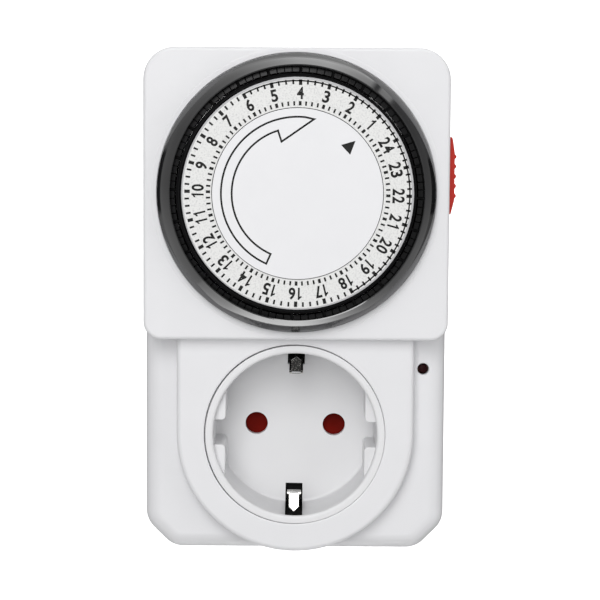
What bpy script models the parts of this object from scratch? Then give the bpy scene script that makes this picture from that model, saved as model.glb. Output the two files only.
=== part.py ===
"""Plug-in mechanical segment timer: 24-hour dial, pass-through earthed socket and plug.

Millimetres in the constants, metres in the scene.  +Z is up, the front faces -Y.
The origin is the middle of the plug's nose face, between the two pins.
"""
import math

import bmesh
import bpy
from mathutils import Matrix, Vector

MM = 0.001
GAP = 0.3

# ---- case -------------------------------------------------------------------
CASE_HALF_W = 36.0
CASE_TOP = 92.1
CASE_BOTTOM = -28.7
WALL = 2.0
SEAT_Y = -17.0                # rear seating plane
SPLIT_Y = -25.0               # joint line between the covers
LOWER_FRONT_Y = -47.0
PLATEAU_Y = -51.5             # raised field round the socket
UPPER_FRONT_Y = -54.9         # front of the dial block
UPPER_LOW_Z = 23.2
TOP_CORNER_R = 7.5
LOW_CORNER_R = 4.2
BOTTOM_CHAMFER = 6.5
PLATEAU_R = 28.3
CASE_SEG = 4
SCREW_AT = ((-29.5, 84.6), (29.5, 84.6), (-28.5, -18.5), (28.5, -18.5))
POST_R = 3.4

# ---- plug and pins ----------------------------------------------------------
PIN_SPACING = 19.0
PIN_R = 2.4
PIN_LENGTH = 19.0
PLUG_R = 18.5
PLUG_SIDE_FLAT = 16.2

# ---- socket well ------------------------------------------------------------
WELL_R = 19.6
WELL_DEPTH = 17.4
INSERT_R = 21.5
PIN_HOLE_R = 2.75
FLOOR_T = 2.0
GUIDE_FLAT = 16.7
GUIDE_HALF_Z = 10.0
GUIDE_NOTCH = 6.0
EARTH_SLOT_R = 14.6           # inner end of the earth clips' slots
EARTH_SLOT_HALF = 2.1
EARTH_BEND = (-47.0, 14.5)    # y and radius of the clips' bend
EARTH_W = 3.2
EARTH_NOSE_W = 2.4            # narrow end of each clip, towards the rim

# ---- dial -------------------------------------------------------------------
DIAL_Z = 58.06
RING_R = 32.95
DRUM_R = 30.9
SCALE_IN_R = 20.5
SCALE_OUT_R = 27.05
DISC_R = 20.1
PLATE_Y = -58.3               # front of the dial's plate
SLOT_IN_R = 28.05
SLOT_OUT_R = 29.55
TAPPET_BACK = -50.2
TAPPET_TRAVEL = 2.3
HOURS = 24
DIAL_PHASE = 88.3             # angle of the 4 o'clock mark, degrees
RIB = 0.62                    # rib between two hours' tappets
DIAL_SEG = 48

# ---- gear train -------------------------------------------------------------
FINE = 0.6                    # module of the motor train
COARSE = 0.9                  # module of the dial drive
RING_TEETH = 48
DRIVE_TEETH = 8
WHEEL_TEETH = 40
PINION_TEETH = 8
CLUTCH_TEETH = 32


def polar(start, distance, degrees):
    a = math.radians(degrees)
    return (start[0] + distance * math.cos(a), start[1] + distance * math.sin(a))


DRIVE_AT = polar((0.0, DIAL_Z), COARSE * (RING_TEETH - DRIVE_TEETH) / 2, 216.0)
SECOND_AT = polar(DRIVE_AT, FINE * (CLUTCH_TEETH + PINION_TEETH) / 2, 92.0)
FIRST_AT = polar(SECOND_AT, FINE * (WHEEL_TEETH + PINION_TEETH) / 2, 60.0)
ROTOR_AT = polar(FIRST_AT, FINE * (WHEEL_TEETH + PINION_TEETH) / 2, -45.0)

# ---- switch and override ----------------------------------------------------
LEVER_X = 29.1
LEVER_PIVOT = (-42.0, 41.0)   # y, z
LEAF_PIVOT = (-38.0, 28.0)
KNOB_Z = 61.4
KNOB_HALF = 9.2
KNOB_OUT = 38.7
SLIDE_TRAVEL = 4.0
LAMP_AT = (30.3, 15.5)


def fresh_collection(name):
    old = bpy.data.collections.get(name)
    if old:
        bpy.data.collections.remove(old)
    made = bpy.data.collections.new(name)
    bpy.context.scene.collection.children.link(made)
    return made


for stale in list(bpy.data.objects):
    bpy.data.objects.remove(stale, do_unlink=True)
PARTS = fresh_collection("segment_timer")
CUTTERS = fresh_collection("segment_timer_cutters")


# ---- materials --------------------------------------------------------------
COLOURS = {
    "white": ((0.80, 0.80, 0.82), 0.35, 0.0),
    "offwhite": ((0.66, 0.66, 0.67), 0.6, 0.0),
    "black": ((0.02, 0.02, 0.022), 0.25, 0.0),
    "grey": ((0.10, 0.10, 0.11), 0.45, 0.0),
    "red": ((0.62, 0.05, 0.03), 0.4, 0.0),
    "dark_red": ((0.22, 0.01, 0.01), 0.5, 0.0),
    "steel": ((0.60, 0.60, 0.60), 0.3, 1.0),
    "brass": ((0.70, 0.52, 0.24), 0.3, 1.0),
    "copper": ((0.72, 0.32, 0.16), 0.4, 1.0),
    "natural": ((0.75, 0.72, 0.62), 0.5, 0.0),
    "magnet": ((0.07, 0.065, 0.06), 0.6, 0.0),
    "glass": ((0.75, 0.45, 0.35), 0.1, 0.0),
    "amber": ((0.30, 0.06, 0.03), 0.15, 0.0),
}


def paint(obj, key):
    colour, rough, metal = COLOURS[key]
    mat = bpy.data.materials.new(obj.name + "_" + key)
    mat.use_nodes = True
    shader = mat.node_tree.nodes["Principled BSDF"]
    shader.inputs["Base Color"].default_value = (*colour, 1.0)
    shader.inputs["Roughness"].default_value = rough
    shader.inputs["Metallic"].default_value = metal
    obj.data.materials.append(mat)


# ---- outlines in the XZ plane -----------------------------------------------
def arc(cx, cz, r, a0, a1, n):
    step = math.radians(a1 - a0) / n
    start = math.radians(a0)
    return [(cx + r * math.cos(start + i * step), cz + r * math.sin(start + i * step)) for i in range(n + 1)]


def circle(cx, cz, r, n):
    return arc(cx, cz, r, 0.0, 360.0, n)[:-1]


def rect(x0, x1, z0, z1):
    return [(x0, z0), (x1, z0), (x1, z1), (x0, z1)]


def rounded_rect(x0, x1, z0, z1, r_low, r_top, n):
    out = arc(x1 - r_low, z0 + r_low, r_low, -90, 0, n)
    out += arc(x1 - r_top, z1 - r_top, r_top, 0, 90, n)
    out += arc(x0 + r_top, z1 - r_top, r_top, 90, 180, n)
    out += arc(x0 + r_low, z0 + r_low, r_low, 180, 270, n)
    return out


def case_outline(inset, z_top, r_top):
    """Body outline with rounded top corners and soft 45-degree bottom corners."""
    w = CASE_HALF_W - inset
    z0 = CASE_BOTTOM + inset
    c = BOTTOM_CHAMFER - 0.586 * inset
    r = 6.0 - inset
    t = r * math.tan(math.radians(22.5))
    right = arc(w - c - t, z0 + r, r, -90, -45, 2)
    right += arc(w - r, z0 + c + t, r, -45, 0, 2)
    right += arc(w - r_top, z_top - inset - r_top, r_top, 0, 90, CASE_SEG)
    return right + [(-x, z) for x, z in reversed(right)]


def stadium(r, z_top, n):
    return [(r, z_top), (-r, z_top)] + arc(0.0, 0.0, r, 180, 360, n)


def gear_outline(teeth, module, at, toward, inward=False):
    """Trapezium teeth; one tooth points along the angle `toward` (radians)."""
    pitch_r = teeth * module / 2
    tip = pitch_r + 0.8 * module
    root = pitch_r - 1.1 * module
    half = 2 * math.pi / teeth
    spans = (-0.27, -0.12, 0.12, 0.27)
    if inward:
        tip = pitch_r + 1.1 * module
        root = pitch_r - 0.8 * module
        spans = (-0.38, -0.23, 0.23, 0.38)
    out = []
    for k in range(teeth):
        for share, r in zip(spans, (root, tip, tip, root)):
            a = toward + (k + share) * half
            out.append((at[0] + r * math.cos(a), at[1] + r * math.sin(a)))
    return out


# ---- solids -----------------------------------------------------------------
def finish(name, bm, collection, key=None):
    bmesh.ops.recalc_face_normals(bm, faces=bm.faces)
    mesh = bpy.data.meshes.new(name)
    bm.to_mesh(mesh)
    bm.free()
    obj = bpy.data.objects.new(name, mesh)
    collection.objects.link(obj)
    if key:
        paint(obj, key)
    else:
        obj.hide_render = True
        obj.display_type = "WIRE"
    return obj


def extrude_outline(bm, outline, y0, y1):
    verts = [bm.verts.new((x * MM, y0 * MM, z * MM)) for x, z in outline]
    edges = [bm.edges.new(pair) for pair in zip(verts, verts[1:] + verts[:1])]
    face = bmesh.ops.edgeloop_fill(bm, edges=edges)["faces"]
    top = bmesh.ops.extrude_face_region(bm, geom=face)["geom"]
    moved = [v for v in top if isinstance(v, bmesh.types.BMVert)]
    bmesh.ops.translate(bm, verts=moved, vec=(0.0, (y1 - y0) * MM, 0.0))


def bevel_at(bm, y, width, segments):
    edges = [e for e in bm.edges if all(abs(v.co.y - y * MM) < 1e-7 for v in e.verts)]
    bmesh.ops.bevel(bm, geom=edges, offset=width * MM, segments=segments, profile=0.5,
                    affect="EDGES", clamp_overlap=True)


def prism(name, outline, y0, y1, key=None, soft=None):
    """Outline extruded from y0 to y1; soft = (y, width, segments) rounds that end."""
    bm = bmesh.new()
    extrude_outline(bm, outline, y0, y1)
    if soft:
        bevel_at(bm, *soft)
    return finish(name, bm, PARTS if key else CUTTERS, key)


def bundle(name, pieces, key=None):
    """Separate (outline, y0, y1) solids that do not touch, kept in one mesh."""
    bm = bmesh.new()
    for outline, y0, y1 in pieces:
        extrude_outline(bm, outline, y0, y1)
    return finish(name, bm, PARTS if key else CUTTERS, key)


def lathe(name, profile, at, steps, key=None, closed=True):
    """(radius, y) profile spun about the Y axis through `at`."""
    bm = bmesh.new()
    verts = [bm.verts.new((r * MM, y * MM, 0.0)) for r, y in profile]
    edges = [bm.edges.new(pair) for pair in zip(verts, verts[1:])]
    if closed:
        edges.append(bm.edges.new((verts[-1], verts[0])))
    bmesh.ops.spin(bm, geom=verts + edges, cent=(0, 0, 0), axis=(0, 1, 0), angle=2 * math.pi,
                   steps=steps, use_merge=True)
    bmesh.ops.remove_doubles(bm, verts=bm.verts, dist=1e-6)
    bmesh.ops.translate(bm, verts=bm.verts, vec=(at[0] * MM, 0.0, at[1] * MM))
    return finish(name, bm, PARTS if key else CUTTERS, key)


def rod(name, at, r, y0, y1, steps, key=None):
    return lathe(name, [(0.0, y0), (r, y0), (r, y1), (0.0, y1)], at, steps, key, closed=False)


def side_strip(name, path, width, thick, x_mid, key=None):
    """Sheet strip: a (y, z) path given a thickness and spread in X."""
    bm = bmesh.new()
    left = (x_mid - width / 2) * MM
    verts = [bm.verts.new((left, y * MM, z * MM)) for y, z in path]
    edges = [bm.edges.new(pair) for pair in zip(verts, verts[1:])]
    made = bmesh.ops.extrude_edge_only(bm, edges=edges)["geom"]
    moved = [v for v in made if isinstance(v, bmesh.types.BMVert)]
    bmesh.ops.translate(bm, verts=moved, vec=(width * MM, 0.0, 0.0))
    obj = finish(name, bm, PARTS if key else CUTTERS, key)
    solid = obj.modifiers.new("thickness", "SOLIDIFY")
    solid.thickness = thick * MM
    solid.offset = 0.0
    solid.use_even_offset = True
    return obj


def combine(obj, other, operation):
    mod = obj.modifiers.new(operation.lower() + "_" + other.name, "BOOLEAN")
    mod.operation = operation
    mod.object = other
    mod.solver = "EXACT"


def cut(obj, *others):
    for other in others:
        combine(obj, other, "DIFFERENCE")


def weld(obj, *others):
    for other in others:
        combine(obj, other, "UNION")


def put_origin(obj, x, y, z):
    """Move the object's origin to a joint axis without moving its surface."""
    point = Vector((x * MM, y * MM, z * MM))
    obj.data.transform(Matrix.Translation(-point))
    obj.location = point


# ---- front cover ------------------------------------------------------------
DIAL_AT = (0.0, DIAL_Z)


def upper_outline(inset):
    return rounded_rect(-CASE_HALF_W + inset, CASE_HALF_W - inset, UPPER_LOW_Z + inset,
                        CASE_TOP - inset, max(LOW_CORNER_R - inset, 1.2), TOP_CORNER_R - inset, CASE_SEG)


def front_cover():
    cover = prism("front_cover", case_outline(0.0, CASE_TOP, TOP_CORNER_R), SPLIT_Y - GAP,
                  LOWER_FRONT_Y, "white", soft=(LOWER_FRONT_Y, 4.0, 3))
    block = prism("cover_block", upper_outline(0.0), SPLIT_Y - GAP, UPPER_FRONT_Y,
                  soft=(UPPER_FRONT_Y, 0.9, 2))
    field = prism("cover_field", stadium(PLATEAU_R, UPPER_LOW_Z + 4, 16), SPLIT_Y - 2, PLATEAU_Y,
                  soft=(PLATEAU_Y, 1.2, 2))
    weld(cover, block, field)
    room = prism("cover_room", case_outline(WALL, CASE_TOP, TOP_CORNER_R - WALL), SPLIT_Y + 4,
                 LOWER_FRONT_Y + WALL, soft=(LOWER_FRONT_Y + WALL, 2.4, 2))
    room_up = prism("cover_room_up", upper_outline(WALL), SPLIT_Y + 5, UPPER_FRONT_Y + WALL)
    room_mid = prism("cover_room_mid", stadium(PLATEAU_R - WALL, UPPER_LOW_Z + 3, 16), SPLIT_Y + 6,
                     PLATEAU_Y + WALL)
    cut(cover, room, room_up, room_mid)
    posts = bundle("cover_posts", [(circle(x, z, POST_R, 12), -22.0, -53.4 if z > 0 else -45.4)
                                   for x, z in SCREW_AT])
    weld(cover, posts)
    dial_hole = lathe("cover_dial_hole", [
        (0.0, -60.0), (RING_R + GAP, -60.0), (RING_R + GAP, -54.3), (DRUM_R + GAP, -54.3),
        (DRUM_R + GAP, -50.0), (0.0, -50.0)], DIAL_AT, DIAL_SEG, closed=False)
    socket_hole = rod("cover_socket_hole", (0, 0), INSERT_R + GAP, -60.0, -45.7, 36)
    holes = [(circle(x, z, 1.25 + GAP, 10), -21.0, -34.5) for x, z in SCREW_AT]
    holes.append((circle(*LAMP_AT, 1.35, 16), -50.0, -40.0))
    small = bundle("cover_small_holes", holes)
    knob_slot = prism("cover_knob_slot", rect(30.0, 40.0, KNOB_Z - 3.3 - SLIDE_TRAVEL, KNOB_Z + 3.3),
                      -42.4, -37.6)
    cut(cover, dial_hole, socket_hole, small, knob_slot)


# ---- rear cover with the plug -----------------------------------------------
def rear_cover():
    cover = prism("rear_cover", case_outline(0.0, CASE_TOP, TOP_CORNER_R), SPLIT_Y, SEAT_Y, "white",
                  soft=(SEAT_Y, 1.4, 2))
    room = prism("rear_room", case_outline(WALL, CASE_TOP, TOP_CORNER_R - WALL), SPLIT_Y - 4, SEAT_Y - 2.5)
    cut(cover, room)
    plug = prism("rear_plug", circle(0, 0, PLUG_R, 36), SEAT_Y - 1.0, 0.0, soft=(0.0, 0.8, 2))
    cups = bundle("rear_cups", [(circle(x, z, 4.0, 16), -21.7, SEAT_Y - 1.2) for x, z in SCREW_AT])
    weld(cover, plug, cups)
    flats = bundle("rear_side_notches", [(rect(s * PLUG_SIDE_FLAT, s * 22.0, -10.0, 10.0), SEAT_Y, 5.0)
                                         for s in (-1, 1)])
    earth = bundle("rear_earth_slots", [(rect(-2.2, 2.2, s * 16.6, s * 19.4), -24.0, -1.5)
                                        for s in (-1, 1)])
    pins = bundle("rear_pin_holes", [(circle(s * PIN_SPACING / 2, 0, PIN_R + GAP, 16), -24.0, 5.0)
                                     for s in (-1, 1)])
    shafts = bundle("rear_screw_holes", [(circle(x, z, 1.75, 12), -24.0, -12.0) for x, z in SCREW_AT])
    heads = bundle("rear_head_holes", [(circle(x, z, 2.9, 16), -20.2, -12.0) for x, z in SCREW_AT])
    cut(cover, flats, earth, pins, shafts, heads)


# ---- socket insert, contacts, pins, earth ------------------------------------
def socket_insert():
    floor_y = PLATEAU_Y + WELL_DEPTH
    back = floor_y + FLOOR_T
    insert = lathe("socket_insert", [
        (0.0, floor_y), (WELL_R, floor_y), (WELL_R, PLATEAU_Y + 0.5), (WELL_R + 0.5, PLATEAU_Y),
        (INSERT_R - 0.4, PLATEAU_Y), (INSERT_R, PLATEAU_Y + 0.4), (INSERT_R, -49.2),
        (24.2, -49.2), (24.2, -47.4), (INSERT_R, -47.4), (INSERT_R, back), (1.0, back),
        (1.0, back + 1.9), (0.0, back + 1.9)], (0, 0), 36, "white", closed=False)
    near = math.sqrt((WELL_R + 0.7) ** 2 - GUIDE_NOTCH ** 2 / 4)
    far = math.sqrt((WELL_R + 0.7) ** 2 - GUIDE_HALF_Z ** 2)
    blocks = []
    for s in (-1, 1):
        for t in (-GUIDE_NOTCH / 2, GUIDE_NOTCH / 2):
            end = math.copysign(GUIDE_HALF_Z, t)
            outline = [(s * GUIDE_FLAT, t), (s * near, t), (s * far, end), (s * GUIDE_FLAT, end)]
            blocks.append((outline, floor_y + 0.5, PLATEAU_Y + 2.4))
    weld(insert, bundle("insert_guides", blocks))
    holes = [(circle(s * PIN_SPACING / 2, 0, PIN_HOLE_R, 20), floor_y - 3, back + 3) for s in (-1, 1)]
    for s in (-1, 1):
        slot = rect(-EARTH_SLOT_HALF, EARTH_SLOT_HALF, s * EARTH_SLOT_R, s * (WELL_R - 0.15))
        holes.append((slot, floor_y - 0.6, back + 3))
    cut(insert, bundle("insert_holes", holes))
    recess = [(rect(-EARTH_SLOT_HALF, EARTH_SLOT_HALF, s * (WELL_R - 1.5), s * (INSERT_R - 0.7)),
               PLATEAU_Y + 0.9, floor_y - 0.3) for s in (-1, 1)]
    cut(insert, bundle("insert_recesses", recess))


def child_shutter():
    half = PIN_SPACING / 2
    blade = prism("child_shutter", arc(half, 0, 3.7, -90, 90, 8) + arc(-half, 0, 3.7, 90, 270, 8),
                  -31.8, -30.4, "dark_red")
    cut(blade, rod("shutter_bore", (0, 0), 1.3, -34.0, -28.0, 12),
        bundle("shutter_waist", [([(-6.2, s * 2.3), (6.2, s * 2.3), (4.2, s * 5.0), (-4.2, s * 5.0)],
                                  -34.0, -28.0) for s in (-1, 1)]))


def contacts_and_pins():
    for side, name in ((-1, "line"), (1, "neutral")):
        x = side * PIN_SPACING / 2
        clip = prism(name + "_contact", circle(x, 0, 3.5, 20), -29.8, -22.7, "brass")
        bore = rod(name + "_bore", (x, 0), 2.5, -31.0, -23.9, 16)
        slit = prism(name + "_slit", rect(x - 6, x + 6, -0.4, 0.4), -31.0, -24.6)
        cut(clip, bore, slit)
        if side < 0:
            weld(clip, prism("line_tab", rect(x - 1.5, x + 1.5, 2.0, 26.0), -24.0, -23.0))
        tip = PIN_LENGTH
        lathe(name + "_pin", [(0.0, -22.4), (3.4, -22.4), (3.4, -19.8), (PIN_R, -19.8), (PIN_R, tip - 1.6),
                              (PIN_R * 0.72, tip - 0.4), (PIN_R * 0.4, tip), (0.0, tip)], (x, 0), 14,
              "steel", closed=False)


def earth_strap():
    strap = prism("earth_strap", rect(-1.65, 1.65, -18.4, 18.4), -29.8, -29.0, "steel")
    bend_y, bend_r = EARTH_BEND
    for s, label in ((1, "top"), (-1, "bottom")):
        path = [(bend_y - 2.9, s * 19.3), (bend_y, s * bend_r), (-36.6, s * 18.2), (-27.6, s * 18.2),
                (-26.0, s * 17.9), (-2.2, s * 17.9)]
        weld(strap, side_strip("earth_strip_" + label, path, EARTH_W, 0.8, 0.0))
    trims = [(rect(s * EARTH_NOSE_W / 2, s * 3.0, -21.0, 21.0), -52.0, bend_y - 0.8) for s in (-1, 1)]
    cut(strap, bundle("earth_strip_trims", trims))


# ---- dial ---------------------------------------------------------------------
def dial():
    drum = lathe("dial_wheel", [
        (4.4, -53.5), (20.8, -53.5), (20.8, PLATE_Y), (DRUM_R, PLATE_Y), (DRUM_R, -50.0), (27.0, -50.0),
        (27.0, -56.8), (22.3, -56.8), (22.3, -53.5), (25.4, -53.5), (25.4, -47.0), (20.9, -47.0),
        (20.9, -52.0), (4.4, -52.0)], DIAL_AT, DIAL_SEG, "black")
    toward = math.atan2(DRIVE_AT[1] - DIAL_Z, DRIVE_AT[0])
    teeth = prism("dial_ring_teeth", gear_outline(RING_TEETH, COARSE, DIAL_AT, toward, inward=True),
                  -52.2, -44.0)
    slots = []
    trim = math.degrees(RIB / 2 / SLOT_OUT_R)
    for hour in range(HOURS):
        a0 = DIAL_PHASE + (hour - 4) * 15.0 + trim
        a1 = a0 + 15.0 - 2 * trim
        slots.append((arc(0, DIAL_Z, SLOT_OUT_R, a0, a1, 1) + arc(0, DIAL_Z, SLOT_IN_R, a1, a0, 1),
                      -62.0, -48.0))
    cut(drum, teeth, bundle("dial_slots", slots))
    weld(drum, lathe("dial_hub", [(3.3, -54.4), (5.6, -54.4), (5.6, -46.6), (3.3, -46.6)], DIAL_AT, 24))
    lathe("grip_ring", [
        (DRUM_R + GAP, -54.6), (RING_R, -54.6), (RING_R, -55.4), (32.45, -57.6), (31.4, -59.1),
        (30.0, -60.4), (29.7, -60.2), (29.7, PLATE_Y - GAP), (DRUM_R + GAP, PLATE_Y - GAP)],
        DIAL_AT, DIAL_SEG, "black")
    lathe("scale_ring", [(SCALE_IN_R, -58.6), (SCALE_OUT_R, -58.6), (SCALE_OUT_R, -59.3),
                         (SCALE_IN_R, -59.3)], DIAL_AT, DIAL_SEG, "offwhite")
    for name in ("dial_wheel", "grip_ring", "scale_ring"):
        put_origin(bpy.data.objects[name], 0.0, -55.0, DIAL_Z)


def tappets(hour):
    """Four quarter-hour segments on one web, in a slot of the dial."""
    mid_r = (SLOT_IN_R + SLOT_OUT_R) / 2
    r0 = SLOT_IN_R + 0.25
    r1 = SLOT_OUT_R - 0.25
    trim = math.degrees((RIB / 2 + 0.28) / mid_r)
    slit = math.degrees(0.34 / mid_r)
    a0 = DIAL_PHASE + (hour - 4) * 15.0 + trim
    a1 = a0 + 15.0 - 2 * trim
    width = (a1 - a0 - 3 * slit) / 4
    web_y = -53.0
    ends = arc(0, DIAL_Z, r1, a0, a1, 1) + arc(0, DIAL_Z, r0, a1, a0, 1)
    group = prism("tappets_{:02d}_to_{:02d}_h".format(hour, hour + 1), ends, -59.5, TAPPET_BACK, "grey")
    gaps = []
    for k in range(3):
        b0 = a0 + (k + 1) * width + k * slit
        gaps.append((arc(0, DIAL_Z, r1 + 1, b0, b0 + slit, 1) + arc(0, DIAL_Z, r0 - 1, b0 + slit, b0, 1),
                     -61.0, web_y))
    cut(group, bundle("tappet_gaps_{:02d}".format(hour), gaps))
    middle = math.radians((a0 + a1) / 2)
    put_origin(group, mid_r * math.cos(middle), -55.0, DIAL_Z + mid_r * math.sin(middle))


def centre():
    lathe("centre_post", [(0.0, -42.7), (5.0, -42.7), (5.0, -43.7), (3.0, -43.7), (3.0, -54.7),
                          (2.0, -54.7), (2.0, -58.0), (0.0, -58.0)], DIAL_AT, 20, "steel", closed=False)
    lathe("centre_disc", [(0.0, -59.5), (DISC_R - 0.4, -59.5), (DISC_R, -59.2), (DISC_R, -58.5),
                          (4.6, -58.5), (4.6, -55.0), (2.3, -55.0), (2.3, -58.3), (0.0, -58.3)],
          DIAL_AT, DIAL_SEG, "offwhite", closed=False)


# ---- mechanism ------------------------------------------------------------------
def chassis():
    plate = prism("chassis_plate", rounded_rect(-32.0, 25.6, 27.0, 80.5, 3.0, 3.0, 3), -45.5, -44.0, "steel")
    legs = [(circle(x, z, 1.8, 10), -44.5, -19.8) for x, z in ((-30, 31), (-30, 77.5), (22, 77.5), (22, 50))]
    weld(plate, bundle("chassis_legs", legs))
    spots = ((DIAL_AT, 3.3), (DRIVE_AT, 1.8), (FIRST_AT, 1.05), (SECOND_AT, 1.05))
    cut(plate, bundle("chassis_holes", [(circle(*at, r, 16), -50.0, -42.0) for at, r in spots]))
    for name, at, y1 in (("first_gear_arbor", FIRST_AT, -35.4), ("second_gear_arbor", SECOND_AT, -38.4)):
        rod(name, at, 0.75, -45.5, y1, 12, "steel")


def wheel_with_pinion(name, at, wheel, pinion, bore):
    """wheel and pinion = (teeth, angle of one tooth, y0, y1); they overlap along Y."""
    teeth, toward, y0, y1 = wheel
    gear = prism(name, gear_outline(teeth, FINE, at, toward), y0, y1, "natural")
    small, small_toward, p0, p1 = pinion
    weld(gear, prism(name + "_pinion", gear_outline(small, FINE, at, small_toward), p0, p1))
    cut(gear, rod(name + "_bore", at, bore, -50.0, -30.0, 12))
    put_origin(gear, at[0], -40.0, at[1])


def heading(a, b):
    return math.atan2(b[1] - a[1], b[0] - a[0])


def gear_train():
    drive = prism("drive_pinion", gear_outline(DRIVE_TEETH, COARSE, DRIVE_AT, heading(DIAL_AT, DRIVE_AT)),
                  -50.4, -46.0, "brass")
    weld(drive, rod("drive_shaft", DRIVE_AT, 1.4, -47.0, -41.2, 16))
    put_origin(drive, DRIVE_AT[0], -46.0, DRIVE_AT[1])
    clutch = prism("clutch_gear", gear_outline(CLUTCH_TEETH, FINE, DRIVE_AT, heading(DRIVE_AT, SECOND_AT)),
                   -43.1, -41.6, "natural")
    cut(clutch, rod("clutch_bore", DRIVE_AT, 1.7, -50.0, -30.0, 16))
    put_origin(clutch, DRIVE_AT[0], -42.4, DRIVE_AT[1])
    half_pinion = math.pi / PINION_TEETH
    wheel_with_pinion("second_gear", SECOND_AT,
                      (WHEEL_TEETH, heading(SECOND_AT, FIRST_AT), -40.3, -39.0),
                      (PINION_TEETH, heading(SECOND_AT, DRIVE_AT) + half_pinion, -43.4, -40.0), 1.05)
    wheel_with_pinion("first_gear", FIRST_AT,
                      (WHEEL_TEETH, heading(FIRST_AT, ROTOR_AT), -37.6, -36.2),
                      (PINION_TEETH, heading(FIRST_AT, SECOND_AT) + half_pinion, -40.6, -37.3), 1.05)
    rotor = lathe("motor_rotor", [(0.0, -38.6), (1.0, -38.6), (1.0, -32.4), (8.3, -32.4), (8.3, -21.6),
                                  (1.2, -21.6), (1.2, -20.9), (0.0, -20.9)], ROTOR_AT, 24, "magnet",
                  closed=False)
    weld(rotor, prism("rotor_pinion", gear_outline(PINION_TEETH, FINE, ROTOR_AT,
                                                   heading(ROTOR_AT, FIRST_AT) + half_pinion), -38.0, -35.4))
    put_origin(rotor, ROTOR_AT[0], -27.0, ROTOR_AT[1])


def motor():
    stator = lathe("motor_stator", [(0.0, -20.6), (14.2, -20.6), (14.2, -33.5), (15.0, -33.5), (15.0, -19.8),
                                    (0.0, -19.8)], ROTOR_AT, 36, "steel", closed=False)
    claws = []
    for k in range(8):
        a = 45.0 * k
        claws.append((arc(*ROTOR_AT, 9.8, a - 12, a + 12, 2) + arc(*ROTOR_AT, 8.9, a + 12, a - 12, 2),
                      -20.2, -31.6))
    weld(stator, bundle("stator_claws", claws))
    lathe("motor_coil", [(10.3, -32.6), (13.8, -32.6), (13.8, -21.0), (10.3, -21.0)], ROTOR_AT, 36, "copper")


def switch():
    y, z = LEVER_PIVOT
    body = prism("switch_body", rect(21.4, 33.2, 25.5, 27.2), -43.0, -33.0, "natural")
    lug = prism("switch_lug", rect(26.0, 27.4, 26.0, 43.2), -43.4, -40.6)
    stub = prism("switch_stub", rect(27.0, 31.0, z - 0.6, z + 0.6), y - 0.6, y + 0.6)
    weld(body, lug, stub)

    lever = prism("follower_lever", rect(LEVER_X - 1.0, LEVER_X + 1.0, 35.0, 58.9), -43.2, -40.8, "grey")
    nose = prism("lever_nose", rect(LEVER_X - 0.7, LEVER_X + 0.7, 57.3, 58.8),
                 TAPPET_BACK + TAPPET_TRAVEL + 0.4, -42.0)
    weld(lever, nose)
    cut(lever, prism("lever_bore", rect(LEVER_X - 3, LEVER_X + 3, z - 0.95, z + 0.95), y - 0.95, y + 0.95))
    put_origin(lever, LEVER_X, y, z)

    leaf_y, leaf_z = LEAF_PIVOT
    leaf = prism("contact_leaf", rect(22.0, 31.0, leaf_z - 0.4, 38.6), leaf_y - 0.3, leaf_y + 0.3, "copper")
    weld(leaf, prism("leaf_rivet", rect(23.0, 25.0, 35.6, 37.6), leaf_y - 1.0, leaf_y + 0.1),
         prism("leaf_pad", rect(28.4, 29.8, 35.2, 36.6), leaf_y - 2.4, leaf_y + 0.1))
    put_origin(leaf, 26.5, leaf_y, leaf_z)

    fixed = prism("fixed_contact", rect(22.4, 25.4, 27.5, 38.4), leaf_y - 3.0, leaf_y - 2.2, "brass")
    weld(fixed, prism("fixed_rivet", rect(23.0, 25.0, 35.6, 37.6), leaf_y - 2.4, leaf_y - 1.3))


def override_slider():
    low = KNOB_Z - KNOB_HALF
    high = KNOB_Z + KNOB_HALF
    base = CASE_HALF_W + GAP
    profile = [(base, low), (base + 0.4, low), (KNOB_OUT - 0.6, low + 4.0)]
    for k in range(5):
        z = low + 4.6 + 2.3 * k
        profile += [(KNOB_OUT - 0.6, z - 0.3), (KNOB_OUT, z + 0.3)]
        profile += [(KNOB_OUT, z + 1.1), (KNOB_OUT - 0.6, z + 1.7)]
    profile += [(KNOB_OUT - 0.6, high - 2.2), (base + 0.6, high), (base, high)]
    knob = prism("override_slider", profile, -44.2, -35.8, "red")
    stem = prism("slider_stem", rect(33.4, base + 0.3, KNOB_Z - 3.0, KNOB_Z + 3.0), -42.0, -38.0)
    foot = prism("slider_foot", rect(31.2, 33.6, KNOB_Z - 5.0, KNOB_Z + 5.0), -43.6, -36.4)
    weld(knob, stem, foot)
    put_origin(knob, 35.0, -40.0, KNOB_Z)


def indicator():
    rod("indicator_lens", LAMP_AT, 1.05, -46.2, -43.2, 16, "amber")
    lathe("indicator_lamp", [(0.0, -42.9), (1.2, -42.5), (2.0, -41.4), (2.0, -35.0), (0.0, -35.0)],
          LAMP_AT, 16, "glass", closed=False)


def case_screws():
    for (x, z), name in zip(SCREW_AT, ("upper_left", "upper_right", "lower_left", "lower_right")):
        screw = lathe("case_screw_" + name, [(0.0, -34.0), (1.25, -33.2), (1.25, -19.9), (2.6, -19.9),
                                             (2.6, -18.3), (2.1, -17.8), (0.0, -17.8)], (x, z), 12,
                      "steel", closed=False)
        cross = bundle("cross_" + name, [(rect(x - 1.6, x + 1.6, z - 0.3, z + 0.3), -18.7, -17.0)])
        cut(screw, cross, prism("cross_b_" + name, rect(x - 0.3, x + 0.3, z - 1.6, z + 1.6), -18.7, -17.0))


front_cover()
rear_cover()
socket_insert()
child_shutter()
contacts_and_pins()
earth_strap()
dial()
for each_hour in range(HOURS):
    tappets(each_hour)
centre()
chassis()
gear_train()
motor()
switch()
override_slider()
indicator()
case_screws()
shutter = bpy.data.objects["child_shutter"]
put_origin(shutter, 0.0, -31.1, 0.0)
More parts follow.
